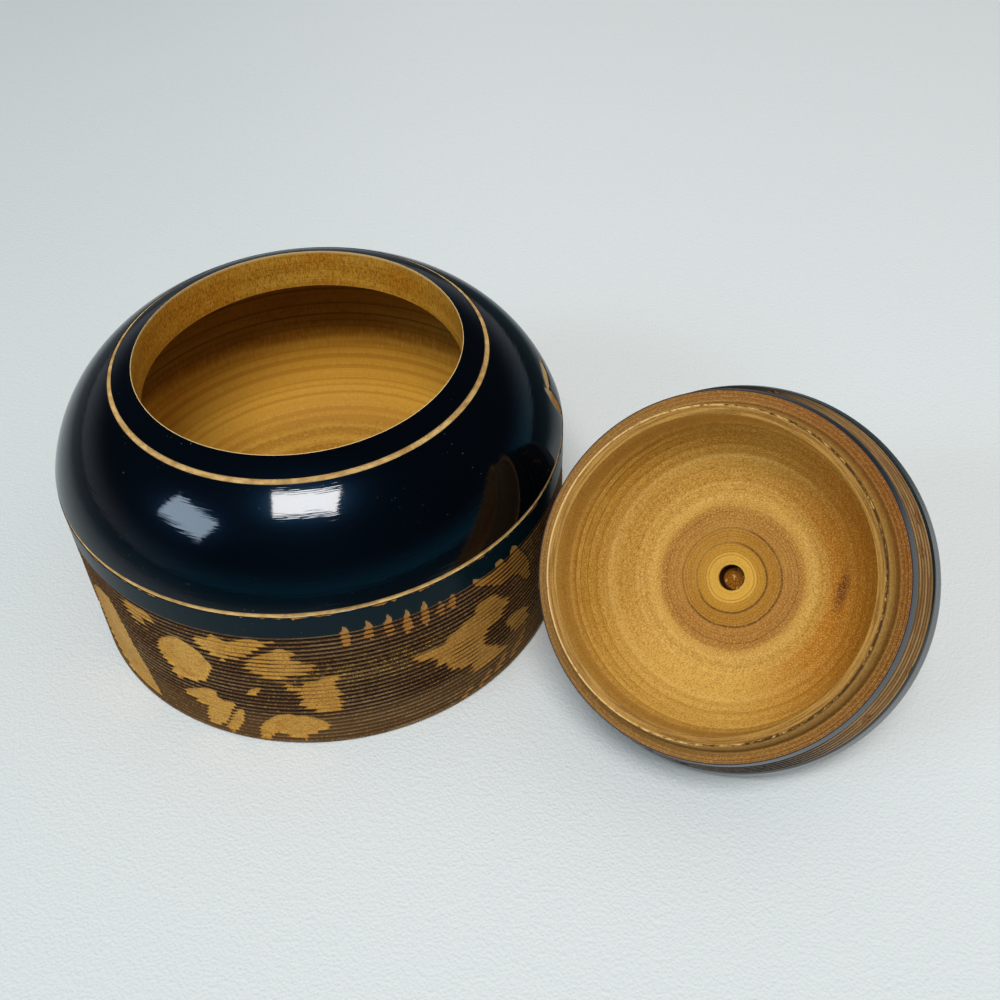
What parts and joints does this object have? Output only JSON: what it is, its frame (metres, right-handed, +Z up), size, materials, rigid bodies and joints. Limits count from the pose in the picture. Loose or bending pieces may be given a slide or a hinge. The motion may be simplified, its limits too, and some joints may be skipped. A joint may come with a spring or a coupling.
{
  "type": "turned trinket box",
  "caption": "Round turned wooden trinket box with a lacquered shoulder, a grooved lower wall, a hollow wider than its mouth, and a loose domed plug lid with a ball knob lying beside it.",
  "frame": {"origin": "centre of the pot's flat bottom", "axes": "+Z up along the pot's axis, out of its mouth; +Y away from the viewer of the picture; +X to the side where the lid lies"},
  "size_m": [0.1641, 0.1215, 0.0632],
  "materials": {
    "pot_lacquer": "gloss navy lacquer over turned wood",
    "lid_wood": "bare turned wood, satin",
    "knob_lacquer": "gloss navy lacquer over turned wood"
  },
  "bodies": {
    "pot": {"pot": "pot_lacquer"},
    "lid": {"lid": "lid_wood", "knob": "knob_lacquer"}
  },
  "joints": [
    {"name": "lid_lift", "type": "slide", "parent": "pot", "child": "lid", "axis": [0, 0, 1], "range_m": [0, 0.09]}
  ]
}
